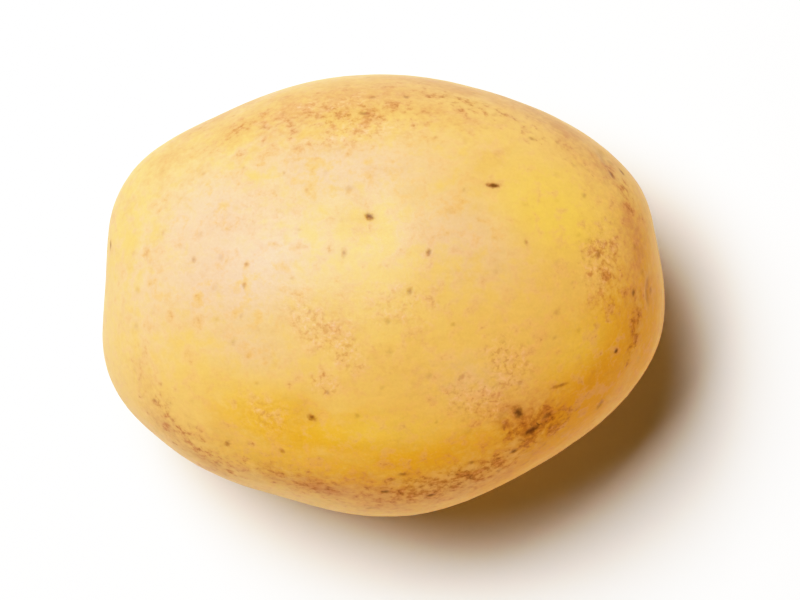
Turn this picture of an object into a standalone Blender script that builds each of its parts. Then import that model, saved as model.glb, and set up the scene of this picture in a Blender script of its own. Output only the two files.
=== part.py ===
"""A smooth yellow potato: one tuber, which grew as one solid piece.

It lies on its flatter side. -X is the stem end, +X is the bud end and +Z is up.
The origin is under the middle of the tuber, on the surface that it rests on.
Lengths are in metres and angles in degrees.
"""

import math
from collections import namedtuple

import bmesh
import bpy
from mathutils import Vector

# Overall size of the tuber as it lies.
LENGTH = 0.080
WIDTH = 0.0624
HEIGHT = 0.054

# How full the body is: 2 makes an ellipsoid, and more than 2 fills out its shoulders.
FULLNESS = 2.1

# The flat spot that the tuber rests on: how far the underside is pressed in, and the
# height over which the skin then curves away from the flat.
REST_SPOT_DEPTH = 0.0013
REST_SPOT_BLEND = 0.0008

# Eyes are shallow hollows, and the stem scar is a wider and deeper one.
EYE_RADIUS = 0.0030
EYE_DEPTH = 0.0005
STEM_SCAR_RADIUS = 0.0042
STEM_SCAR_DEPTH = 0.0009

# Squares along each edge of the cube that is rounded into the body.
SQUARES_PER_EDGE = 24

# Colour of the skin, in linear light, and its sheen.
SKIN_COLOUR = (0.76, 0.50, 0.16, 1.0)
SKIN_ROUGHNESS = 0.5

# A broad swelling of the body, or a flat where the height is below zero. Azimuth turns
# from +X towards +Y, elevation rises from the horizontal, and both are seen from the
# middle of the tuber. Spread is the angle over which the swelling dies away.
Swelling = namedtuple("Swelling", "name azimuth elevation spread height")

SWELLINGS = (
    Swelling("stem_shoulder", 152, 5, 15, 0.0024),
    Swelling("stem_lobe", 194, -8, 13, 0.0018),
    Swelling("stem_end_flat", 177, 5, 10, -0.0004),
    Swelling("bud_shoulder", 20, 5, 12, 0.0009),
    Swelling("bud_end_flat", 7, 5, 9, -0.0008),
    Swelling("bud_point", 349, -5, 12, 0.0007),
    Swelling("front_bud_flat", 314, 5, 28, -0.0023),
    Swelling("front_stem_flat", 239, 5, 21, -0.0016),
    Swelling("back_bud_flat", 57, 5, 21, -0.0008),
    Swelling("crown_flat", 180, 62, 30, -0.0009),
    Swelling("crown_hump", 20, 70, 26, 0.0007),
    Swelling("bud_end_droop", 350, -35, 24, 0.0012),
    Swelling("back_belly", 100, -42, 26, 0.0010),
    Swelling("front_belly_flat", 262, -48, 28, -0.0012),
    Swelling("stem_end_undercut", 178, -48, 24, -0.0005),
)

# An eye's place: along and across are shares of the half length and of the half width,
# and side is UP on the upper half of the tuber and DOWN on the lower half.
UP = 1
DOWN = -1
Eye = namedtuple("Eye", "along across side")

EYES = (
    Eye(-0.56, -0.60, UP),
    Eye(-0.55, 0.38, DOWN),
    Eye(-0.26, -0.51, UP),
    Eye(-0.12, -0.62, DOWN),
    Eye(-0.03, 0.35, UP),
    Eye(0.22, 0.48, DOWN),
    Eye(0.39, 0.46, UP),
    Eye(0.44, -0.56, UP),
    Eye(0.52, -0.42, DOWN),
    Eye(0.70, 0.22, DOWN),
    Eye(0.82, 0.53, UP),
    Eye(0.88, -0.36, DOWN),
    Eye(0.96, -0.04, UP),
)

STEM_SCAR_AZIMUTH = 169
STEM_SCAR_ELEVATION = -4


def clear_objects():
    """Empty the scene of objects."""
    for thing in list(bpy.data.objects):
        bpy.data.objects.remove(thing)


def direction_of(azimuth, elevation):
    """Unit vector at an azimuth and an elevation, in degrees."""
    turn = math.radians(azimuth)
    rise = math.radians(elevation)
    level = math.cos(rise)
    return Vector((level * math.cos(turn), level * math.sin(turn), math.sin(rise)))


def direction_of_eye(eye):
    """Unit vector from the middle of the tuber to an eye."""
    height_share = math.sqrt(1.0 - eye.along**2 - eye.across**2)
    towards = Vector(
        (
            eye.along * LENGTH / 2,
            eye.across * WIDTH / 2,
            eye.side * height_share * HEIGHT / 2,
        )
    )
    return towards.normalized()


def grown_point(direction):
    """Point of the rounded body, with its swellings, in one direction from its middle."""
    half_sizes = (LENGTH / 2, WIDTH / 2, HEIGHT / 2)
    reach = sum(abs(part / half) ** FULLNESS for part, half in zip(direction, half_sizes))
    radius = reach ** (-1.0 / FULLNESS)
    for swelling in SWELLINGS:
        centre = direction_of(swelling.azimuth, swelling.elevation)
        away = math.degrees(direction.angle(centre)) / swelling.spread
        radius += swelling.height * math.exp(-(away**2))
    return direction * radius


def cube_grid_mesh():
    """A cube whose faces are divided into squares."""
    grid = bmesh.new()
    bmesh.ops.create_cube(grid, size=2.0)
    bmesh.ops.subdivide_edges(
        grid, edges=grid.edges[:], cuts=SQUARES_PER_EDGE - 1, use_grid_fill=True
    )
    return grid


def rounded_direction(cube_point):
    """Direction of a point on the cube, turned so that the squares stay even in size."""
    eighth_turn = math.pi / 4
    return Vector(math.tan(part * eighth_turn) for part in cube_point).normalized()


def fit_to_size(points):
    """Scale and centre the points so that the body has its overall size."""
    wanted = (LENGTH, WIDTH, HEIGHT + REST_SPOT_DEPTH)
    for axis, size in enumerate(wanted):
        low = min(point[axis] for point in points)
        high = max(point[axis] for point in points)
        for point in points:
            point[axis] = (point[axis] - (low + high) / 2) * size / (high - low)


def press_hollow(points, direction, radius, depth):
    """Press a shallow round hollow into the skin where a direction leaves the body."""
    nearest = max(points, key=lambda point: point.normalized().dot(direction))
    centre = direction * nearest.length
    for index, point in enumerate(points):
        away = (point - centre).length / radius
        points[index] = point - point.normalized() * depth * math.exp(-(away**2))


def press_rest_spot(points):
    """Flatten the underside, and move the body so that the flat lies at z = 0."""
    lowest = min(point.z for point in points)
    flat_height = lowest + REST_SPOT_DEPTH
    for point in points:
        above = point.z - flat_height
        if above <= -REST_SPOT_BLEND:
            point.z = 0.0
        elif above < REST_SPOT_BLEND:
            point.z = (above + REST_SPOT_BLEND) ** 2 / (4 * REST_SPOT_BLEND)
        else:
            point.z = above


def skin_material():
    """Smooth yellow skin with a soft sheen."""
    material = bpy.data.materials.new("potato_skin")
    material.use_nodes = True
    shader = material.node_tree.nodes["Principled BSDF"]
    shader.inputs["Base Color"].default_value = SKIN_COLOUR
    shader.inputs["Roughness"].default_value = SKIN_ROUGHNESS
    shader.inputs["Metallic"].default_value = 0.0
    return material


def build_potato():
    """Make the tuber as one closed solid, resting on its flat spot."""
    grid = cube_grid_mesh()
    points = [grown_point(rounded_direction(vertex.co)) for vertex in grid.verts]
    fit_to_size(points)
    for eye in EYES:
        press_hollow(points, direction_of_eye(eye), EYE_RADIUS, EYE_DEPTH)
    stem_scar = direction_of(STEM_SCAR_AZIMUTH, STEM_SCAR_ELEVATION)
    press_hollow(points, stem_scar, STEM_SCAR_RADIUS, STEM_SCAR_DEPTH)
    press_rest_spot(points)
    for vertex, point in zip(grid.verts, points):
        vertex.co = point
    bmesh.ops.recalc_face_normals(grid, faces=grid.faces[:])

    mesh = bpy.data.meshes.new("potato")
    grid.to_mesh(mesh)
    grid.free()
    mesh.shade_smooth()
    mesh.materials.append(skin_material())
    potato = bpy.data.objects.new("potato", mesh)
    bpy.context.scene.collection.objects.link(potato)


clear_objects()
build_potato()
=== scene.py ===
"""The looks of one smooth yellow potato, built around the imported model.

The piece potato_skin follows the CAD node's surface on a fine grid, and adds the eyes,
pores, scars and unevenness of the skin. Its material is made of nodes that read the
place on the skin and the marks stored on the mesh. Lengths are in metres, unless a name
ends in _mm. +X is the bud end, -X the stem end and +Z up, as in the frame.
"""

import math
from collections import namedtuple

import bmesh
import bpy
import numpy as np
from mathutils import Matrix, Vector, noise
from mathutils.bvhtree import BVHTree
from mathutils.kdtree import KDTree


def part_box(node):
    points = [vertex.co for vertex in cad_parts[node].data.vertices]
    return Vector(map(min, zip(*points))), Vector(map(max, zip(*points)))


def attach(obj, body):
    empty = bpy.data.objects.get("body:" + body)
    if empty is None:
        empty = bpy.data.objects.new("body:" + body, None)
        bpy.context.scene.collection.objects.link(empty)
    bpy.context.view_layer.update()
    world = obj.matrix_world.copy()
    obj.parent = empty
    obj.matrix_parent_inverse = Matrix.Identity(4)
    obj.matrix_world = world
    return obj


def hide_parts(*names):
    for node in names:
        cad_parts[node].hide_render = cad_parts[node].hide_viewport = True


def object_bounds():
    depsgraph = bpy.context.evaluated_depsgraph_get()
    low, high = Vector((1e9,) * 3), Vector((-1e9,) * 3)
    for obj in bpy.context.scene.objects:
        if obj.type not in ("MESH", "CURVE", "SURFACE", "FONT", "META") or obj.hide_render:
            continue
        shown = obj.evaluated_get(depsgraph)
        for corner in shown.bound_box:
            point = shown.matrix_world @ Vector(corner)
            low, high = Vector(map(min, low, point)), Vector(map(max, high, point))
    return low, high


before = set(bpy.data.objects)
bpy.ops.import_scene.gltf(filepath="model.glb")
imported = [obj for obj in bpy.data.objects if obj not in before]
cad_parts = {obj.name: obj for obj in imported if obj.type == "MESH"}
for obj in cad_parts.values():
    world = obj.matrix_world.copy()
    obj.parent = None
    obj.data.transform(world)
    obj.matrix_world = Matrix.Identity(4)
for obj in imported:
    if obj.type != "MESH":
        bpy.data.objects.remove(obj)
CAD_LOW, CAD_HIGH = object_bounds()

MM = 0.001
NODE = "potato"
BODY = "root"
UP = 1
DOWN = -1

LOW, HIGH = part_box(NODE)
MIDDLE = (LOW + HIGH) / 2
SIZE = HIGH - LOW

# ---------------------------------------------------------------- skin mesh

SQUARES_PER_EDGE = 128
WELD = 0.01 * MM
RELAX_ROUNDS = 24

# Unevenness of the skin: size of the lumps and how far they stand out, in mm.
Lumps = namedtuple("Lumps", "size_mm height_mm seed")
LUMPS = (
    Lumps(17.0, 0.30, 3),
    Lumps(6.0, 0.07, 11),
    Lumps(2.2, 0.020, 27),
)

# An eye's direction from the middle of the tuber, in degrees, and how strong its brow is.
Eye = namedtuple("Eye", "azimuth elevation brow")
EYES = (
    Eye(220, 28, 0.15),
    Eye(152, -39, 0.7),
    Eye(237, 49, 0.1),
    Eye(256, -46, 0.8),
    Eye(96, 66, 0.0),
    Eye(60, -53, 0.9),
    Eye(43, 45, 0.0),
    Eye(315, 37, 0.4),
    Eye(328, -39, 0.9),
    Eye(14, -33, 1.0),
    Eye(27, 9, 0.5),
    Eye(342, -13, 0.8),
    Eye(358, 11, 0.7),
)

# An eye has a bud in its middle, a crease in an arc on its stem side, and a ridge beyond.
EYE_REACH_MM = 5.0
BROW_RADIUS_MM = 1.9
BROW_WIDTH_MM = 0.60
BROW_DEPTH_MM = 0.18
BROW_RIDGE_MM = 0.16
BROW_RIDGE_OUT_MM = 1.32
BROW_RIDGE_WIDTH_MM = 0.96
BUD_RADIUS_MM = 0.75
BUD_HEIGHT_MM = 0.10

# The stem scar at the stem end.
SCAR_AZIMUTH = 169
SCAR_ELEVATION = -4
SCAR_RADIUS_MM = 2.3
SCAR_RIM_MM = 0.25
SCAR_RIM_WIDTH_MM = 0.7
SCAR_SINK_MM = 0.35
SCAR_SINK_RADIUS_MM = 1.84
SCAR_REACH_MM = 7.0

# Marks, listed one by one: where they are seen from above, their half length and
# half width, how far they are turned from +X towards +Y, and how dark they are.
Mark = namedtuple("Mark", "x_mm y_mm long_mm wide_mm turn tone")
MARKS = (
    Mark(-1.1, 10.9, 0.75, 0.55, -50, 1.00),
    Mark(16.2, 14.3, 1.15, 0.50, 0, 1.00),
    Mark(6.8, 5.5, 0.62, 0.42, 80, 0.60),
    Mark(-4.9, 6.0, 0.75, 0.48, 80, 0.50),
    Mark(3.9, 0.3, 0.75, 0.50, 75, 0.45),
    Mark(-25.8, 6.2, 0.55, 0.50, 60, 0.42),
    Mark(-18.4, 5.2, 0.38, 0.34, 0, 0.35),
    Mark(-18.9, 2.3, 0.50, 0.34, 85, 0.42),
    Mark(-12.2, 2.9, 0.35, 0.30, 0, 0.22),
    Mark(-10.9, 9.6, 0.40, 0.34, 0, 0.22),
    Mark(-30.0, 10.1, 0.45, 0.35, 90, 0.20),
    Mark(-10.5, -16.4, 0.75, 0.50, -25, 0.80),
    Mark(-32.5, -13.0, 0.50, 0.45, 0, 0.60),
    Mark(-22.5, -19.4, 0.75, 0.45, 60, 0.60),
    Mark(-15.0, -20.9, 0.55, 0.45, 0, 0.45),
    Mark(32.2, -9.5, 0.48, 0.44, 0, 1.00),
    Mark(33.0, 15.2, 0.95, 0.45, -50, 0.80),
    Mark(-37.6, 9.0, 0.90, 0.50, 90, 0.80),
    Mark(35.0, -1.5, 0.70, 0.42, 70, 0.75),
    Mark(30.2, 4.1, 0.65, 0.50, 60, 0.60),
    Mark(20.3, 6.2, 0.50, 0.38, 90, 0.45),
    Mark(18.0, -17.2, 1.50, 0.75, -65, 0.95),
    Mark(19.8, -19.9, 1.40, 0.75, 15, 0.90),
    Mark(17.1, -22.6, 0.70, 0.55, 0, 0.80),
    Mark(22.0, -18.0, 0.95, 0.60, 20, 0.60),
    Mark(23.9, -13.8, 1.55, 0.34, -5, 0.55),
    Mark(29.7, -17.0, 1.30, 0.70, 55, 0.45),
    Mark(-0.9, -27.4, 0.70, 0.50, 0, 0.80),
    Mark(5.4, -28.2, 0.75, 0.50, 15, 0.80),
    Mark(1.7, -25.0, 0.90, 0.40, 0, 0.60),
    Mark(11.2, -23.8, 0.60, 0.45, 0, 0.55),
    Mark(-8.2, -13.0, 0.45, 0.38, -60, 0.35),
    Mark(0.1, 27.6, 0.60, 0.50, 0, 0.40),
    Mark(4.8, 27.4, 0.60, 0.50, 30, 0.55),
    Mark(-1.2, 25.3, 0.90, 0.50, -20, 0.50),
    Mark(22.0, 20.6, 0.55, 0.45, 0, 0.45),
    Mark(34.5, 15.5, 0.70, 0.45, -40, 0.80),
    Mark(9.6, -4.6, 0.40, 0.34, 0, 0.28),
)

# Pores all over the skin, which are scattered with a fixed seed.
PORE_SEED = 5
PORE_COUNT = 380
PORE_GAP_MM = 3.6
PORE_RADIUS_MM = (0.28, 0.60)
PORE_STRETCH = (1.0, 1.5)
PORE_TONE = (0.04, 0.30)

# What the skin away from the stem scar is given as its distance from it.
FAR_OFF_MM = 20.0

# A mark's tone is stored this far beyond its own radius, and its place further still, so
# that whole squares know about it.
TONE_MARGIN_MM = 0.7
PLACE_MARGIN_MM = 1.5
NO_MARK = (9.0, 9.0, 0.0)

# Areas of another tone and patches of rougher skin, placed like the marks. The creamy
# areas are partly a painted highlight and the golden ones partly painted shade. Side is UP
# for the upper half of the tuber and DOWN for the lower half. A patch fades inwards too,
# over its depth, which is a multiple of its half length.
Patch = namedtuple("Patch", "x_mm y_mm side long_mm wide_mm turn strength")
PATCH_DEPTH = 1.5
# Creamy skin tone. On the upper half these are mostly a painted highlight: the broad sheen on the lit
# top, centred towards the stem end, painted into the colour. The one on the lower half is the skin's own
# tone.
CREAM_AND_HIGHLIGHT_AREAS = (
    Patch(-22.0, 8.0, UP, 14.0, 13.0, 0, 1.00),
    Patch(-6.0, 18.0, UP, 20.0, 7.0, -5, 0.70),
    Patch(-32.0, 4.0, UP, 9.0, 14.0, 0, 0.60),
    Patch(-14.0, 23.0, UP, 11.0, 4.5, 12, 0.55),
    Patch(-20.0, -6.0, UP, 9.0, 5.0, -10, 0.55),
    Patch(12.0, 8.0, UP, 13.0, 9.0, -10, 0.60),
    Patch(13.0, -12.0, UP, 8.0, 5.0, -20, 0.50),
    Patch(-6.0, 6.0, DOWN, 20.0, 12.0, 20, 0.80),
    Patch(24.0, -4.0, DOWN, 9.0, 9.0, 0, 0.50),
)
LEMON_AREAS = (
    Patch(25.0, 10.0, UP, 10.0, 7.0, -20, 1.00),
    Patch(27.0, -9.0, UP, 7.0, 5.0, 20, 0.60),
    Patch(-24.0, -10.0, UP, 9.0, 4.0, -20, 0.30),
    Patch(8.0, -6.0, UP, 10.0, 5.0, -10, 0.35),
    Patch(-2.0, -19.0, UP, 14.0, 3.5, -5, 0.60),
    Patch(0.0, -10.0, DOWN, 14.0, 7.0, 20, 0.60),
    Patch(-24.0, 12.0, DOWN, 9.0, 6.0, 0, 0.60),
)
# Golden skin tone. On the upper half, along the -Y side and at the bud end, these are painted shade: the
# skin turned away from the light made a deeper orange. The ones on the lower half are the skin's own
# tone.
GOLD_AND_SHADE_AREAS = (
    Patch(6.0, -23.0, UP, 26.0, 6.0, 4, 0.80),
    Patch(27.0, -17.0, UP, 20.0, 9.0, 38, 1.00),
    Patch(37.5, -5.0, UP, 5.5, 14.0, 0, 1.00),
    Patch(34.0, -12.0, DOWN, 16.0, 9.0, 40, 0.90),
    Patch(16.0, -25.0, DOWN, 18.0, 7.0, 12, 0.90),
    Patch(-9.0, -19.0, UP, 16.0, 5.0, -10, 0.78),
    Patch(-20.0, -14.0, DOWN, 16.0, 9.0, 20, 0.80),
    Patch(12.0, 18.0, DOWN, 20.0, 7.0, -10, 0.80),
)
TAN_AREAS = (
    Patch(-6.0, 27.5, UP, 24.0, 8.0, 2, 0.95),
    Patch(12.0, 28.5, UP, 14.0, 5.0, -10, 1.00),
    Patch(24.0, 24.0, UP, 14.0, 6.0, -34, 1.00),
    Patch(31.5, 17.0, UP, 7.0, 4.0, -52, 0.80),
    Patch(35.5, 6.0, UP, 4.5, 10.0, 12, 0.80),
    Patch(-22.0, 26.0, UP, 15.0, 5.0, 26, 0.80),
    Patch(9.0, 25.0, UP, 10.0, 4.0, -6, 0.75),
    Patch(-29.0, -19.5, UP, 14.0, 5.0, -38, 0.75),
    Patch(-8.0, -27.0, UP, 16.0, 4.0, -6, 0.80),
    Patch(7.0, -28.5, UP, 20.0, 4.0, 6, 0.60),
    Patch(-3.0, -6.5, UP, 8.0, 4.0, -35, 0.40),
    Patch(18.5, -17.0, UP, 6.0, 4.0, -20, 0.55),
    Patch(-28.0, 6.0, DOWN, 12.0, 9.0, 40, 0.80),
    Patch(22.0, 8.0, DOWN, 14.0, 8.0, -35, 0.80),
)
SCURF = (
    Patch(-4.0, 25.5, UP, 13.0, 5.0, 0, 0.55),
    Patch(13.0, 26.0, UP, 9.0, 3.5, -18, 0.45),
    Patch(24.0, 20.0, UP, 7.0, 3.0, -32, 0.35),
    Patch(-27.5, -19.0, UP, 11.0, 4.5, -38, 0.42),
    Patch(-31.0, -14.0, UP, 3.5, 3.5, 0, 0.45),
    Patch(8.0, -26.5, UP, 14.0, 4.5, 6, 0.75),
    Patch(-12.0, -25.5, UP, 12.0, 3.5, -10, 0.50),
    Patch(20.5, -19.5, UP, 6.0, 4.0, -10, 1.00),
    Patch(31.0, 2.0, UP, 8.0, 4.5, 98, 0.60),
    Patch(35.0, -7.0, UP, 5.0, 1.8, 72, 0.80),
    Patch(34.5, 13.0, UP, 5.0, 2.5, -55, 0.45),
    Patch(-18.0, 24.5, UP, 6.0, 2.5, 25, 0.50),
    Patch(-30.0, 8.0, DOWN, 9.0, 6.0, 40, 0.80),
    Patch(-6.0, -20.0, DOWN, 14.0, 5.0, 8, 0.70),
    Patch(20.0, 14.0, DOWN, 11.0, 6.0, -35, 0.80),
    Patch(30.0, -10.0, DOWN, 8.0, 6.0, 60, 0.90),
    Patch(-10.0, 17.0, DOWN, 8.0, 4.0, -15, 0.50),
)
FLAKES = (
    Patch(-9.8, -3.6, UP, 5.0, 2.4, -52, 1.00),
    Patch(-6.0, -6.5, UP, 4.0, 2.2, -60, 1.00),
    Patch(16.8, -10.5, UP, 4.6, 3.0, -70, 1.00),
    Patch(-8.8, -12.0, UP, 2.4, 1.8, 0, 0.90),
    Patch(-3.5, 22.5, UP, 9.0, 2.4, 5, 0.80),
    Patch(-6.0, 27.0, UP, 9.0, 2.0, 0, 0.80),
    Patch(2.5, -1.5, UP, 7.0, 4.0, 10, 0.45),
    Patch(13.0, -15.5, UP, 6.0, 3.5, -30, 0.80),
    Patch(30.5, 3.0, UP, 6.0, 3.5, 80, 0.80),
    Patch(-17.0, -16.0, UP, 5.0, 3.0, -20, 0.50),
    Patch(-16.0, 13.0, UP, 7.0, 5.0, 0, 0.35),
    Patch(10.0, -12.0, DOWN, 7.0, 3.0, 30, 0.80),
    Patch(-18.0, 3.0, DOWN, 6.0, 3.0, -20, 0.80),
)
AREAS = {
    "cream_and_highlight": CREAM_AND_HIGHLIGHT_AREAS,
    "lemon": LEMON_AREAS,
    "gold_and_shade": GOLD_AND_SHADE_AREAS,
    "tan": TAN_AREAS,
    "scurf": SCURF,
    "flakes": FLAKES,
}


def cad_surface():
    """The CAD node's surface as a ray-cast tree, with its facets smoothed away."""
    grid = bmesh.new()
    grid.from_mesh(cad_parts[NODE].data)
    bmesh.ops.remove_doubles(grid, verts=grid.verts[:], dist=WELD)
    mesh = bpy.data.meshes.new("smoothed_cad")
    grid.to_mesh(mesh)
    grid.free()
    helper = bpy.data.objects.new("smoothed_cad", mesh)
    bpy.context.scene.collection.objects.link(helper)
    smoothing = helper.modifiers.new("smoothing", "SUBSURF")
    smoothing.levels = 2
    smoothing.render_levels = 2
    tree = BVHTree.FromObject(helper, bpy.context.evaluated_depsgraph_get())
    bpy.data.objects.remove(helper)
    bpy.data.meshes.remove(mesh)
    return tree


def cube_grid():
    """A cube whose faces are divided into even squares, as a bmesh."""
    grid = bmesh.new()
    bmesh.ops.create_cube(grid, size=2.0)
    bmesh.ops.subdivide_edges(
        grid, edges=grid.edges[:], cuts=SQUARES_PER_EDGE - 1, use_grid_fill=True
    )
    return grid


def relaxed(values, edges, rounds):
    """Values on the mesh's points, each drawn halfway to its neighbours' mean each round."""
    count = len(values)
    first, second = edges.T
    neighbours = np.bincount(first, minlength=count) + np.bincount(second, minlength=count)
    for _ in range(rounds):
        total = np.bincount(first, values[second], count) + np.bincount(second, values[first], count)
        values = (values + total / neighbours) / 2
    return values


def skin_mesh(surface):
    """Fine closed mesh that follows the CAD surface."""
    grid = cube_grid()
    mesh = bpy.data.meshes.new("potato_skin")
    grid.to_mesh(mesh)
    grid.free()
    points = read_points(mesh)
    towards = np.tan(points * math.pi / 4)
    towards /= np.linalg.norm(towards, axis=1, keepdims=True)
    distances = np.array([surface.ray_cast(MIDDLE, Vector(way))[3] for way in towards])
    edges = np.empty(len(mesh.edges) * 2, np.int32)
    mesh.edges.foreach_get("vertices", edges)
    distances = relaxed(distances, edges.reshape(-1, 2), RELAX_ROUNDS)
    write_points(mesh, np.array(MIDDLE) + towards * distances[:, None])
    return mesh


def read_points(mesh):
    """The mesh's points, as rows of x, y and z."""
    points = np.empty(len(mesh.vertices) * 3)
    mesh.vertices.foreach_get("co", points)
    return points.reshape(-1, 3)


def write_points(mesh, points):
    """Move the mesh's points."""
    mesh.vertices.foreach_set("co", points.ravel())
    mesh.update()


def read_normals(mesh):
    """The mesh's outward directions at its points."""
    normals = np.empty(len(mesh.vertices) * 3)
    mesh.vertex_normals.foreach_get("vector", normals)
    return normals.reshape(-1, 3)


def direction_of(azimuth, elevation):
    """Unit vector at an azimuth and an elevation, in degrees."""
    turn = math.radians(azimuth)
    rise = math.radians(elevation)
    level = math.cos(rise)
    return Vector((level * math.cos(turn), level * math.sin(turn), math.sin(rise)))


Spot = namedtuple("Spot", "centre along across outward")


def spot_at(surface, origin, way, turn=0.0):
    """The skin where a ray meets it, with unit vectors along and across the tuber."""
    centre, outward, _, _ = surface.ray_cast(origin, way)
    if outward.dot(centre - MIDDLE) < 0:
        outward = -outward
    along = Vector((1, 0, 0)) - outward * outward.x
    if along.length < 0.2:
        along = Vector((0, 1, 0)) - outward * outward.y
    along.normalize()
    across = outward.cross(along)
    angle = math.radians(turn)
    turned = along * math.cos(angle) + across * math.sin(angle)
    return Spot(np.array(centre), np.array(turned), np.array(outward.cross(turned)), np.array(outward))


def spot_in_direction(surface, azimuth, elevation):
    """The skin in one direction from the tuber's middle."""
    return spot_at(surface, MIDDLE, direction_of(azimuth, elevation))


def spot_in_plan(surface, x_mm, y_mm, side, turn):
    """The skin at a place seen from above, on the upper or the lower side."""
    start = Vector((x_mm * MM, y_mm * MM, MIDDLE.z + side * SIZE.z))
    return spot_at(surface, start, Vector((0, 0, -side)), turn)


def local_mm(spot, points):
    """Places of points around a spot: along, across and outward, in mm."""
    away = (points - spot.centre) / MM
    return away @ spot.along, away @ spot.across, away @ spot.outward


def bump(distance, radius):
    """Round bump: 1 at its centre and nearly 0 at twice its radius."""
    return np.exp(-((distance / radius) ** 2))


def lump_heights(points, lumps):
    """Unevenness of one size at each point, in mm."""
    shift = Vector((lumps.seed, lumps.seed * 2, lumps.seed * 3))
    scale = 1 / (lumps.size_mm * MM)
    return lumps.height_mm * np.array([noise.noise(Vector(p) * scale + shift) for p in points])


def eye_heights(along, across, brow):
    """Relief of an eye: a crescent crease with a ridge outside it, and a small bud."""
    distance = np.hypot(along, across)
    stemward = np.clip(-along / np.maximum(distance, 1e-6), 0, 1) ** 0.7
    crease = bump(distance - BROW_RADIUS_MM, BROW_WIDTH_MM) * stemward
    ridge = bump(distance - BROW_RADIUS_MM - BROW_RIDGE_OUT_MM, BROW_RIDGE_WIDTH_MM) * stemward
    bud = bump(distance, BUD_RADIUS_MM)
    return brow * (BROW_RIDGE_MM * ridge - BROW_DEPTH_MM * crease + BUD_HEIGHT_MM * bud)


def scar_heights(along, across):
    """Relief of the stem scar: a raised rim around a sunken middle."""
    distance = np.hypot(along, across)
    rim = bump(distance - SCAR_RADIUS_MM, SCAR_RIM_WIDTH_MM)
    middle = bump(distance, SCAR_SINK_RADIUS_MM)
    return SCAR_RIM_MM * rim - SCAR_SINK_MM * middle


def shape_skin(mesh, surface):
    """Give the fine mesh its unevenness, eyes and stem scar."""
    points = read_points(mesh)
    heights = sum(lump_heights(points, lumps) for lumps in LUMPS)
    eye_places = np.tile(np.array(NO_MARK), (len(points), 1))
    for eye in EYES:
        spot = spot_in_direction(surface, eye.azimuth, eye.elevation)
        near = np.linalg.norm(points - spot.centre, axis=1) < EYE_REACH_MM * MM
        along, across, _ = local_mm(spot, points[near])
        heights[near] += eye_heights(along, across, eye.brow)
        strength = eye.brow * (np.hypot(along, across) < EYE_REACH_MM - 1)
        eye_places[near] = np.stack([along, across, strength], axis=1)
    scar = spot_in_direction(surface, SCAR_AZIMUTH, SCAR_ELEVATION)
    near = np.linalg.norm(points - scar.centre, axis=1) < SCAR_REACH_MM * MM
    along, across, _ = local_mm(scar, points[near])
    heights[near] += scar_heights(along, across)
    scar_places = np.full((len(points), 3), FAR_OFF_MM)
    scar_places[near] = np.stack([along, across, np.zeros(len(along))], axis=1)

    points += read_normals(mesh) * heights[:, None] * MM
    points[:, 2] = np.maximum(points[:, 2], CAD_LOW.z)
    write_points(mesh, points)
    store_vectors(mesh, "eye_place", eye_places)
    store_vectors(mesh, "scar_place", scar_places)


def store_vectors(mesh, name, values):
    """Keep a vector for each point, for the material to read."""
    attribute = mesh.attributes.new(name, "FLOAT_VECTOR", "POINT")
    attribute.data.foreach_set("vector", values.astype(np.float32).ravel())


def store_numbers(mesh, name, values):
    """Keep a number for each point, for the material to read."""
    attribute = mesh.attributes.new(name, "FLOAT", "POINT")
    attribute.data.foreach_set("value", values.astype(np.float32))


def patch_strengths(points, surface, patches):
    """How strongly each point lies in one of the patches, from 0 to 1."""
    strengths = np.zeros(len(points))
    for patch in patches:
        spot = spot_in_plan(surface, patch.x_mm, patch.y_mm, patch.side, patch.turn)
        along, across, outward = local_mm(spot, points)
        share = np.hypot(along / patch.long_mm, across / patch.wide_mm)
        share = np.hypot(share, outward / (PATCH_DEPTH * patch.long_mm))
        strengths = np.maximum(strengths, patch.strength * bump(share, 1.0))
    return strengths


def scattered_pores(points, outwards, taken):
    """Spots and sizes of pores over the whole skin, clear of the places already taken."""
    random = np.random.default_rng(PORE_SEED)
    centres = [spot.centre for spot in taken]
    pores = []
    for index in random.permutation(len(points)):
        if len(pores) == PORE_COUNT:
            break
        centre = points[index]
        if np.min(np.linalg.norm(np.array(centres) - centre, axis=1)) < PORE_GAP_MM * MM:
            continue
        centres.append(centre)
        outward = Vector(outwards[index])
        along = outward.orthogonal().normalized()
        spot = Spot(centre, np.array(along), np.array(outward.cross(along)), np.array(outward))
        radius = random.uniform(*PORE_RADIUS_MM)
        tone = PORE_TONE[0] + (PORE_TONE[1] - PORE_TONE[0]) * random.random() ** 2
        pores.append((spot, radius * random.uniform(*PORE_STRETCH), radius, tone))
    return pores


def store_marks(mesh, surface):
    """Keep, around each mark and pore, the place within it and its tone."""
    points = read_points(mesh)
    tree = KDTree(len(points))
    for index, point in enumerate(points):
        tree.insert(point, index)
    tree.balance()
    marks = []
    for mark in MARKS:
        spot = spot_in_plan(surface, mark.x_mm, mark.y_mm, UP, mark.turn)
        marks.append((spot, mark.long_mm, mark.wide_mm, mark.tone))
    marks += scattered_pores(points, read_normals(mesh), [mark[0] for mark in marks])
    places = np.tile(np.array(NO_MARK), (len(points), 1))
    nearest = np.full(len(points), np.inf)
    for spot, long_mm, wide_mm, tone in marks:
        tone_reach = (long_mm + TONE_MARGIN_MM) * MM
        for point, index, distance in tree.find_range(spot.centre, (long_mm + PLACE_MARGIN_MM) * MM):
            if distance < nearest[index]:
                nearest[index] = distance
                along, across, _ = local_mm(spot, np.array(point))
                stored_tone = tone if distance < tone_reach else 0.0
                places[index] = (along / long_mm, across / wide_mm, stored_tone)
    store_vectors(mesh, "mark_place", places)


# ---------------------------------------------------------------- skin material


def srgb(red, green, blue):
    """Linear colour from the 0 to 255 values of a screen colour."""
    shares = (value / 255 for value in (red, green, blue))
    linear = (s / 12.92 if s <= 0.04045 else ((s + 0.055) / 1.055) ** 2.4 for s in shares)
    return (*linear, 1.0)


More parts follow.
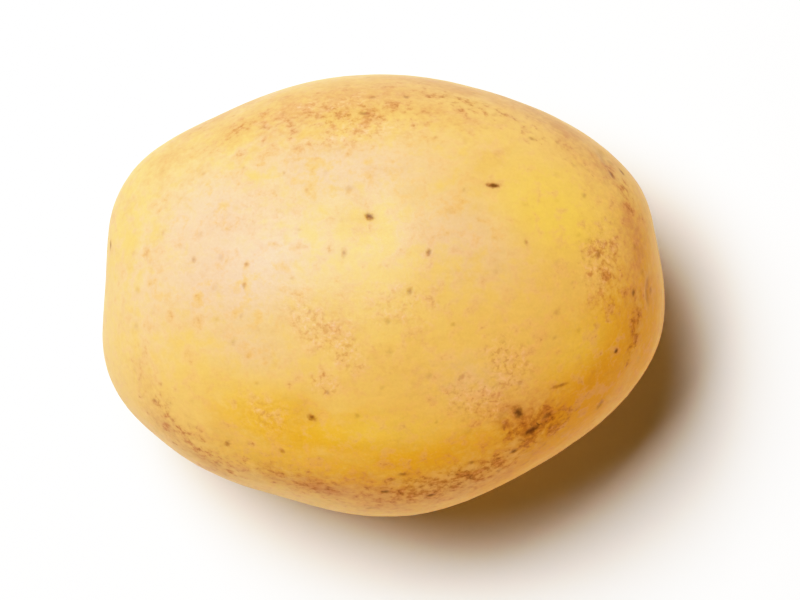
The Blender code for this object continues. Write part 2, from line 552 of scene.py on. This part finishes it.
YELLOW = srgb(216, 177, 113)
# Partly the skin's creamy tone and partly a painted highlight.
CREAM_AND_HIGHLIGHT = srgb(212, 178, 147)
# Partly the skin's golden tone and partly painted shade.
GOLD_AND_SHADE = srgb(211, 162, 50)
LEMON = srgb(220, 185, 104)
PEACH = srgb(218, 169, 128)
TAN = srgb(188, 138, 92)
RUSSET = srgb(156, 105, 52)
RUSSET_DARK = srgb(112, 74, 40)
FLAKE = srgb(226, 183, 150)
MARK_BROWN = srgb(98, 64, 29)

# The sheen of the skin, and how far light spreads under it: red light the furthest.
SKIN_ROUGHNESS = 0.42
SCURF_ROUGHNESS = 0.20
FLAKE_ROUGHNESS = 0.12
GRAIN_ROUGHNESS = 0.10
SKIN_IOR = 1.5
SKIN_SHEEN = 0.33
SKIN_TRANSLUCENCY = 0.18
SPREAD_BY_COLOUR = (1.0, 0.45, 0.15)
LIGHT_SPREAD_MM = 3.0

# Sizes of the skin's textures, and the squeeze along X that makes the streaks run that way.
CLOUD_MM = 12.0
BLOTCH_MM = 4.5
MOTTLE_MM = 2.0
STREAK_MM = 1.2
FRECKLE_MM = 0.85
FLECK_MM = 0.8
GRAIN_MM = 0.4
STREAK_SQUEEZE = (0.35, 1.0, 1.0)

# The most that each tone covers of what lies under it.
PEACH_COVER = 0.45
TAN_COVER = 0.86
SCURF_COVER = 0.55
SPECK_COVER = 0.50
FLAKED_COVER = 0.22
FLAKE_GAP_COVER = 0.30
FLAKE_COVER = 0.55
SCAR_HALO_COVER = 0.45
SCAR_COVER = 0.70
EYE_HALO_COVER = 0.35
# The eyes' creases are darkened partly for their own brown and partly as painted shade.
EYE_CREASE_SHADE_AND_BUD_COVER = 0.35
MARK_RIM_COVER = 0.12
MARK_COVER = 0.85

# Fine shading: how dark it can make a colour, and how much grain and streaks lighten that.
SHADE_BASE = 0.87
SHADE_RANGE = 0.26

# How far the fine relief stands out.
MOTTLE_RELIEF_MM = 0.06
GRAIN_RELIEF_MM = 0.015
MARK_RELIEF_MM = 0.08
FLAKE_RELIEF_MM = 0.02

# How far a ragged edge wanders to either side. A mark's is a share of its half width.
MARK_WANDER = 0.6
EYE_WANDER_MM = 0.8
SCAR_WANDER_MM = 1.2

Textures = namedtuple("Textures", "clouds blotches mottle freckles flecks grain streaks")
Marks = namedtuple("Marks", "middle rim crease halo scar scar_halo")


class NodeTree:
    """Adds nodes to a material's tree, with links or values for their inputs."""

    def __init__(self, material):
        self.tree = material.node_tree

    def add(self, kind, inputs=None, **settings):
        """New node; inputs maps a socket's name or number to a socket or a value."""
        node = self.tree.nodes.new(kind)
        for name, value in settings.items():
            setattr(node, name, value)
        for name, value in (inputs or {}).items():
            if isinstance(value, bpy.types.NodeSocket):
                self.tree.links.new(value, node.inputs[name])
            else:
                node.inputs[name].default_value = value
        return node

    def math(self, operation, first, second=0.0, third=0.0):
        """Result of a sum on one, two or three numbers."""
        inputs = {0: first, 1: second, 2: third}
        return self.add("ShaderNodeMath", inputs, operation=operation).outputs[0]

    def length(self, along, across):
        """Length of a step along and a step across."""
        squares = (self.math("MULTIPLY", step, step) for step in (along, across))
        return self.math("SQRT", self.math("ADD", *squares))

    def noise(self, place, size_mm, detail=2.0, roughness=0.5, distortion=0.0):
        """Cloudy noise from 0 to 1 with features of about the given size."""
        inputs = {
            "Vector": place,
            "Scale": 1 / size_mm,
            "Detail": detail,
            "Roughness": roughness,
            "Distortion": distortion,
        }
        return self.add("ShaderNodeTexNoise", inputs).outputs["Fac"]

    def smooth(self, value, low, high, bottom=0.0, top=1.0):
        """Soft step from bottom to top as the value goes from low to high."""
        inputs = {"Value": value, "From Min": low, "From Max": high, "To Min": bottom, "To Max": top}
        node = self.add("ShaderNodeMapRange", inputs, interpolation_type="SMOOTHSTEP")
        return node.outputs["Result"]

    def mix(self, share, first, second, blend="MIX"):
        """Colour between two colours."""
        node = self.add("ShaderNodeMix", data_type="RGBA", blend_type=blend)
        for socket, value in ((0, share), (6, first), (7, second)):
            if isinstance(value, bpy.types.NodeSocket):
                self.tree.links.new(value, node.inputs[socket])
            else:
                node.inputs[socket].default_value = value
        return node.outputs[2]

    def cover(self, under, over, mask, most):
        """Colour under, covered by another where the mask is high, by the given most."""
        return self.mix(self.math("MULTIPLY", mask, most), under, over)

    def wander(self, noise_value, reach):
        """Noise from 0 to 1 made to run from -reach to reach."""
        return self.math("MULTIPLY_ADD", noise_value, 2 * reach, -reach)

    def attribute(self, name, output="Vector"):
        """What is stored on the mesh under a name."""
        return self.add("ShaderNodeAttribute", attribute_name=name).outputs[output]

    def split(self, vector):
        """The three numbers of a vector."""
        return self.add("ShaderNodeSeparateXYZ", {"Vector": vector}).outputs

    def bump(self, height, distance_mm, normal=None):
        """Fine relief of a height from 0 to 1, standing out by the given distance."""
        inputs = {"Height": height, "Distance": distance_mm * MM, "Strength": 1.0}
        if normal is not None:
            inputs["Normal"] = normal
        return self.add("ShaderNodeBump", inputs).outputs["Normal"]


def skin_textures(nodes, place):
    """The noises that the skin's tones and relief share."""
    squeezed = nodes.add("ShaderNodeVectorMath", {0: place, 1: STREAK_SQUEEZE}, operation="MULTIPLY")
    return Textures(
        clouds=nodes.noise(place, CLOUD_MM, 2.0, 0.5, 0.6),
        blotches=nodes.noise(place, BLOTCH_MM, 3.0, 0.55, 0.4),
        mottle=nodes.noise(place, MOTTLE_MM, 4.0, 0.6, 0.2),
        freckles=nodes.noise(place, FRECKLE_MM, 3.0, 0.6),
        flecks=nodes.noise(place, FLECK_MM, 3.0, 0.6, 0.3),
        grain=nodes.noise(place, GRAIN_MM, 2.0, 0.6),
        streaks=nodes.noise(squeezed.outputs[0], STREAK_MM, 2.0, 0.5),
    )


def base_colour(nodes, textures, areas):
    """Yellow skin with creamy, golden, lemon, peach and tan areas that run into each other; the creamy
    ones are partly a painted highlight and the golden ones partly painted shade.
    """
    uneven = nodes.math("ADD", nodes.wander(textures.clouds, 0.5), nodes.wander(textures.mottle, 0.7))
    patchy = nodes.math("ADD", nodes.wander(textures.blotches, 0.6), nodes.wander(textures.freckles, 0.6))
    colour = YELLOW
    for name, tone in (("cream_and_highlight", CREAM_AND_HIGHLIGHT), ("gold_and_shade", GOLD_AND_SHADE), ("lemon", LEMON)):
        share = nodes.smooth(nodes.math("ADD", areas[name], uneven), 0.0, 0.9)
        colour = nodes.mix(share, colour, tone)
    colour = nodes.cover(colour, PEACH, nodes.smooth(textures.mottle, 0.46, 0.66), PEACH_COVER)
    tan_share = nodes.smooth(nodes.math("ADD", areas["tan"], patchy), 0.0, 1.4)
    return nodes.cover(colour, TAN, tan_share, TAN_COVER)


def add_scurf(nodes, textures, scurf, colour):
    """Colour with russet freckles and dark specks on the scurfy patches, and their mask."""
    share = nodes.smooth(nodes.math("ADD", scurf, nodes.wander(textures.mottle, 1.0)), 0.1, 0.9)
    freckles = nodes.smooth(nodes.math("MULTIPLY_ADD", share, 0.16, textures.freckles), 0.50, 0.72)
    mask = nodes.math("MULTIPLY", share, nodes.math("MULTIPLY_ADD", freckles, 0.62, 0.38))
    specks = nodes.smooth(nodes.math("MULTIPLY_ADD", textures.grain, 0.5, textures.freckles), 0.80, 0.98)
    colour = nodes.cover(colour, RUSSET, mask, SCURF_COVER)
    colour = nodes.cover(colour, RUSSET_DARK, nodes.math("MULTIPLY", specks, share), SPECK_COVER)
    return colour, mask


def add_flakes(nodes, textures, flakes, colour):
    """Colour with pale flakes and brown gaps on the flaking patches, and the flakes' mask."""
    edge = nodes.math("MULTIPLY_ADD", textures.mottle, 1.2, nodes.math("SUBTRACT", flakes, 0.6))
    flaked = nodes.smooth(edge, 0.0, 0.8)
    mask = nodes.math("MULTIPLY", nodes.smooth(textures.flecks, 0.52, 0.68), flaked)
    gaps = nodes.math("MULTIPLY", nodes.smooth(textures.flecks, 0.50, 0.34), flaked)
    colour = nodes.cover(colour, PEACH, flaked, FLAKED_COVER)
    colour = nodes.cover(colour, RUSSET, gaps, FLAKE_GAP_COVER)
    colour = nodes.cover(colour, FLAKE, mask, FLAKE_COVER)
    return colour, mask


def add_shade(nodes, fine, colour):
    """Colour made a little lighter and darker by the grain and the streaks."""
    shade = nodes.math("MULTIPLY_ADD", fine, SHADE_RANGE, SHADE_BASE)
    grey = nodes.add("ShaderNodeCombineColor", {0: shade, 1: shade, 2: shade}).outputs[0]
    return nodes.mix(1.0, colour, grey, "MULTIPLY")


def mark_masks(nodes, place):
    """Dark middle and tan rim of the marks and pores, each from 0 to 1."""
    along, across, tone = nodes.split(nodes.attribute("mark_place"))
    ragged = nodes.wander(nodes.noise(place, 0.6, 2.0), MARK_WANDER)
    distance = nodes.math("ADD", nodes.length(along, across), ragged)
    middle = nodes.math("MULTIPLY", nodes.smooth(distance, 1.35, 0.0), tone)
    rim = nodes.math("MULTIPLY", nodes.smooth(distance, 2.4, 1.3), tone)
    return middle, rim


def eye_masks(nodes, place):
    """The eyes' creases, brown and partly painted shade, their brown buds, and tan around the eyes, from
    0 to 1.
    """
    along, across, brow = nodes.split(nodes.attribute("eye_place"))
    ragged = nodes.wander(nodes.noise(place, 1.1), EYE_WANDER_MM)
    distance = nodes.math("ADD", nodes.length(along, across), ragged)
    off_arc = nodes.math("ABSOLUTE", nodes.math("SUBTRACT", distance, BROW_RADIUS_MM))
    arc = nodes.smooth(off_arc, 2 * BROW_WIDTH_MM, 0.0)
    stemward = nodes.math("DIVIDE", along, nodes.math("MAXIMUM", distance, 0.1))
    arc = nodes.math("MULTIPLY", arc, nodes.smooth(stemward, -0.1, -0.8))
    crease = nodes.math("MULTIPLY", arc, brow)
    bud = nodes.math("MULTIPLY", nodes.smooth(distance, BUD_RADIUS_MM, 0.3), brow)
    halo = nodes.math("MULTIPLY", nodes.smooth(distance, 4.2, 1.0), brow)
    return nodes.math("MAXIMUM", crease, bud), halo


def scar_masks(nodes, place):
    """Brown of the stem scar and tan of the skin around it, from 0 to 1."""
    along, across, _ = nodes.split(nodes.attribute("scar_place"))
    ragged = nodes.wander(nodes.noise(place, 1.0, 3.0), SCAR_WANDER_MM)
    distance = nodes.math("ADD", nodes.length(along, across), ragged)
    halo = nodes.smooth(distance, SCAR_REACH_MM - 1.5, 1.5)
    return nodes.smooth(distance, SCAR_RADIUS_MM, 0.6), halo


def add_marks(nodes, marks, colour):
    """Colour with the stem scar, the eyes, the marks and the pores."""
    layers = (
        (TAN, marks.scar_halo, SCAR_HALO_COVER),
        (RUSSET_DARK, marks.scar, SCAR_COVER),
        (TAN, marks.halo, EYE_HALO_COVER),
        # Painted shade in the eyes' creases, partly their own brown, with their brown buds.
        (RUSSET_DARK, marks.crease, EYE_CREASE_SHADE_AND_BUD_COVER),
        (TAN, marks.rim, MARK_RIM_COVER),
        (MARK_BROWN, marks.middle, MARK_COVER),
    )
    for tone, mask, most in layers:
        colour = nodes.cover(colour, tone, mask, most)
    return colour


def skin_roughness(nodes, fine, scurf_mask, flake_mask):
    """Satin skin that is duller on scurf and flakes."""
    roughness = nodes.math("MULTIPLY_ADD", scurf_mask, SCURF_ROUGHNESS, SKIN_ROUGHNESS)
    roughness = nodes.math("MULTIPLY_ADD", flake_mask, FLAKE_ROUGHNESS, roughness)
    return nodes.math("MULTIPLY_ADD", fine, GRAIN_ROUGHNESS, roughness)


def skin_normal(nodes, textures, marks, flake_mask):
    """Fine relief: mottle, grain, sunken marks and raised flakes."""
    normal = nodes.bump(textures.mottle, MOTTLE_RELIEF_MM)
    normal = nodes.bump(textures.grain, GRAIN_RELIEF_MM, normal)
    normal = nodes.bump(nodes.math("SUBTRACT", 1.0, marks.middle), MARK_RELIEF_MM, normal)
    return nodes.bump(flake_mask, FLAKE_RELIEF_MM, normal)


def skin_material():
    """Smooth yellow skin: clouds of tone, partly painted highlight and painted shade, russet scurf,
    flakes, pores and eyes.
    """
    material = bpy.data.materials.new("potato_skin")
    material.use_nodes = True
    shader = material.node_tree.nodes["Principled BSDF"]
    nodes = NodeTree(material)
    position = nodes.add("ShaderNodeTexCoord").outputs["Object"]
    in_mm = nodes.add("ShaderNodeVectorMath", {0: position, 1: (1 / MM,) * 3}, operation="MULTIPLY")
    place = in_mm.outputs[0]
    areas = {name: nodes.attribute(name, "Fac") for name in AREAS}
    textures = skin_textures(nodes, place)
    marks = Marks(*mark_masks(nodes, place), *eye_masks(nodes, place), *scar_masks(nodes, place))
    half_grain = nodes.math("MULTIPLY", textures.grain, 0.5)
    fine = nodes.math("ADD", half_grain, nodes.math("MULTIPLY", textures.streaks, 0.5))

    colour = base_colour(nodes, textures, areas)
    colour, scurf_mask = add_scurf(nodes, textures, areas["scurf"], colour)
    colour, flake_mask = add_flakes(nodes, textures, areas["flakes"], colour)
    colour = add_shade(nodes, fine, colour)
    colour = add_marks(nodes, marks, colour)
    roughness = skin_roughness(nodes, fine, scurf_mask, flake_mask)
    normal = skin_normal(nodes, textures, marks, flake_mask)

    links = material.node_tree.links
    links.new(colour, shader.inputs["Base Color"])
    links.new(roughness, shader.inputs["Roughness"])
    links.new(normal, shader.inputs["Normal"])
    shader.inputs["Metallic"].default_value = 0.0
    shader.inputs["IOR"].default_value = SKIN_IOR
    shader.inputs["Specular IOR Level"].default_value = SKIN_SHEEN
    shader.inputs["Subsurface Weight"].default_value = SKIN_TRANSLUCENCY
    shader.inputs["Subsurface Radius"].default_value = SPREAD_BY_COLOUR
    shader.inputs["Subsurface Scale"].default_value = LIGHT_SPREAD_MM * MM
    return material


def make_potato():
    """The finished skin, standing for the CAD solid."""
    surface = cad_surface()
    mesh = skin_mesh(surface)
    shape_skin(mesh, surface)
    points = read_points(mesh)
    for name, patches in AREAS.items():
        store_numbers(mesh, name, patch_strengths(points, surface, patches))
    store_marks(mesh, surface)
    mesh.shade_smooth()
    mesh.materials.append(skin_material())
    skin = bpy.data.objects.new("potato_skin", mesh)
    bpy.context.scene.collection.objects.link(skin)
    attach(skin, BODY)
    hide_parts(NODE)


# ---------------------------------------------------------------- setting

FLOOR_SIZE = 2.2
FLOOR_DROP = 0.02 * MM
FLOOR_COLOUR = (0.98, 0.98, 0.98, 1.0)
FLOOR_ROUGHNESS = 0.9
FLOOR_SHEEN = 0.2

CAMERA_HEIGHT = 1.0
CAMERA_SENSOR_MM = 36.0
CAMERA_SEES_TO = 10.0
VIEW_WIDTH = 113.0 * MM
VIEW_TURN = -3.0
VIEW_SHIFT_RIGHT = 2.5 * MM
VIEW_SHIFT_UP = -0.7 * MM

KEY_AZIMUTH = 134
KEY_ELEVATION = 63
KEY_DISTANCE = 1.5
KEY_WIDTH = 0.90
KEY_LENGTH = 0.76
KEY_POWER = 31.0

# The walls are lit low down and dark above, between these heights of a direction. The far
# one, which the key light faces, is brighter and warm, as if more potatoes lay there.
NEAR_WALL = (1.4, 1.4, 1.4, 1.0)
FAR_WALL = (3.8, 2.7, 1.3, 1.0)
WALL_LIT_BELOW = 0.08
WALL_DARK_ABOVE = 0.32

# How closely a direction must point away from the key light, from -1 to 1, for it to start
# to see the far wall and to see nothing else.
ALL_NEAR_WALL = -0.3
ALL_FAR_WALL = 0.9

# How bright the picture shows each brightness of the scene: deep shadows, gentle whites.
FILM_WHITE = 1.30
FILM_RESPONSE = (
    (0.06, 0.012),
    (0.12, 0.055),
    (0.30, 0.250),
    (0.45, 0.460),
    (0.65, 0.690),
    (0.85, 0.885),
    (1.05, 0.975),
)


def make_floor():
    """Plain pale ground that the potato lies on."""
    mesh = bpy.data.meshes.new("floor")
    half = FLOOR_SIZE / 2
    corners = [(-half, -half, 0), (half, -half, 0), (half, half, 0), (-half, half, 0)]
    mesh.from_pydata(corners, [], [(0, 1, 2, 3)])
    material = bpy.data.materials.new("floor")
    material.use_nodes = True
    shader = material.node_tree.nodes["Principled BSDF"]
    shader.inputs["Base Color"].default_value = FLOOR_COLOUR
    shader.inputs["Roughness"].default_value = FLOOR_ROUGHNESS
    shader.inputs["Specular IOR Level"].default_value = FLOOR_SHEEN
    mesh.materials.append(material)
    floor = bpy.data.objects.new("floor", mesh)
    floor.location.z = CAD_LOW.z - FLOOR_DROP
    bpy.context.scene.collection.objects.link(floor)


def make_camera():
    """Camera straight above the potato, turned so that the bud end points up a little."""
    data = bpy.data.cameras.new("camera")
    data.sensor_width = CAMERA_SENSOR_MM
    data.lens = CAMERA_SENSOR_MM * (CAMERA_HEIGHT - MIDDLE.z) / VIEW_WIDTH
    data.clip_end = CAMERA_SEES_TO
    camera = bpy.data.objects.new("camera", data)
    turn = math.radians(VIEW_TURN)
    right = Vector((math.cos(turn), math.sin(turn), 0))
    up = Vector((-math.sin(turn), math.cos(turn), 0))
    aim = MIDDLE + right * VIEW_SHIFT_RIGHT + up * VIEW_SHIFT_UP
    camera.location = (aim.x, aim.y, CAMERA_HEIGHT)
    camera.rotation_euler = (0, 0, turn)
    bpy.context.scene.collection.objects.link(camera)
    bpy.context.scene.camera = camera


def make_key_light():
    """A large soft light above and behind the stem end."""
    data = bpy.data.lights.new("key", "AREA")
    data.shape = "RECTANGLE"
    data.size = KEY_WIDTH
    data.size_y = KEY_LENGTH
    data.energy = KEY_POWER
    key = bpy.data.objects.new("key", data)
    way = direction_of(KEY_AZIMUTH, KEY_ELEVATION)
    key.location = MIDDLE + way * KEY_DISTANCE
    key.rotation_euler = way.to_track_quat("Z", "Y").to_euler()
    bpy.context.scene.collection.objects.link(key)


def make_room():
    """Walls that light the sides of the potato, under a dark ceiling."""
    world = bpy.data.worlds.new("room")
    world.use_nodes = True
    nodes = NodeTree(world)
    background = world.node_tree.nodes["Background"]
    way = nodes.add("ShaderNodeTexCoord").outputs["Generated"]
    far_way = direction_of(KEY_AZIMUTH + 180, 0)
    farness = nodes.add("ShaderNodeVectorMath", {0: way, 1: far_way}, operation="DOT_PRODUCT")
    far_share = nodes.smooth(farness.outputs["Value"], ALL_NEAR_WALL, ALL_FAR_WALL)
    colour = nodes.mix(far_share, NEAR_WALL, FAR_WALL)
    lit = nodes.smooth(nodes.split(way)["Z"], WALL_LIT_BELOW, WALL_DARK_ABOVE, 1.0, 0.0)
    world.node_tree.links.new(colour, background.inputs["Color"])
    world.node_tree.links.new(lit, background.inputs["Strength"])
    bpy.context.scene.world = world


def set_film_response():
    """Show the scene with a photograph's contrast."""
    settings = bpy.context.scene.view_settings
    settings.view_transform = "Standard"
    settings.use_curve_mapping = True
    mapping = settings.curve_mapping
    mapping.white_level = (FILM_WHITE,) * 3
    every_channel = mapping.curves[3]
    for brightness, shown in FILM_RESPONSE:
        every_channel.points.new(brightness / FILM_WHITE, shown)
    mapping.update()


make_camera()
make_key_light()
make_room()
set_film_response()
make_floor()
make_potato()
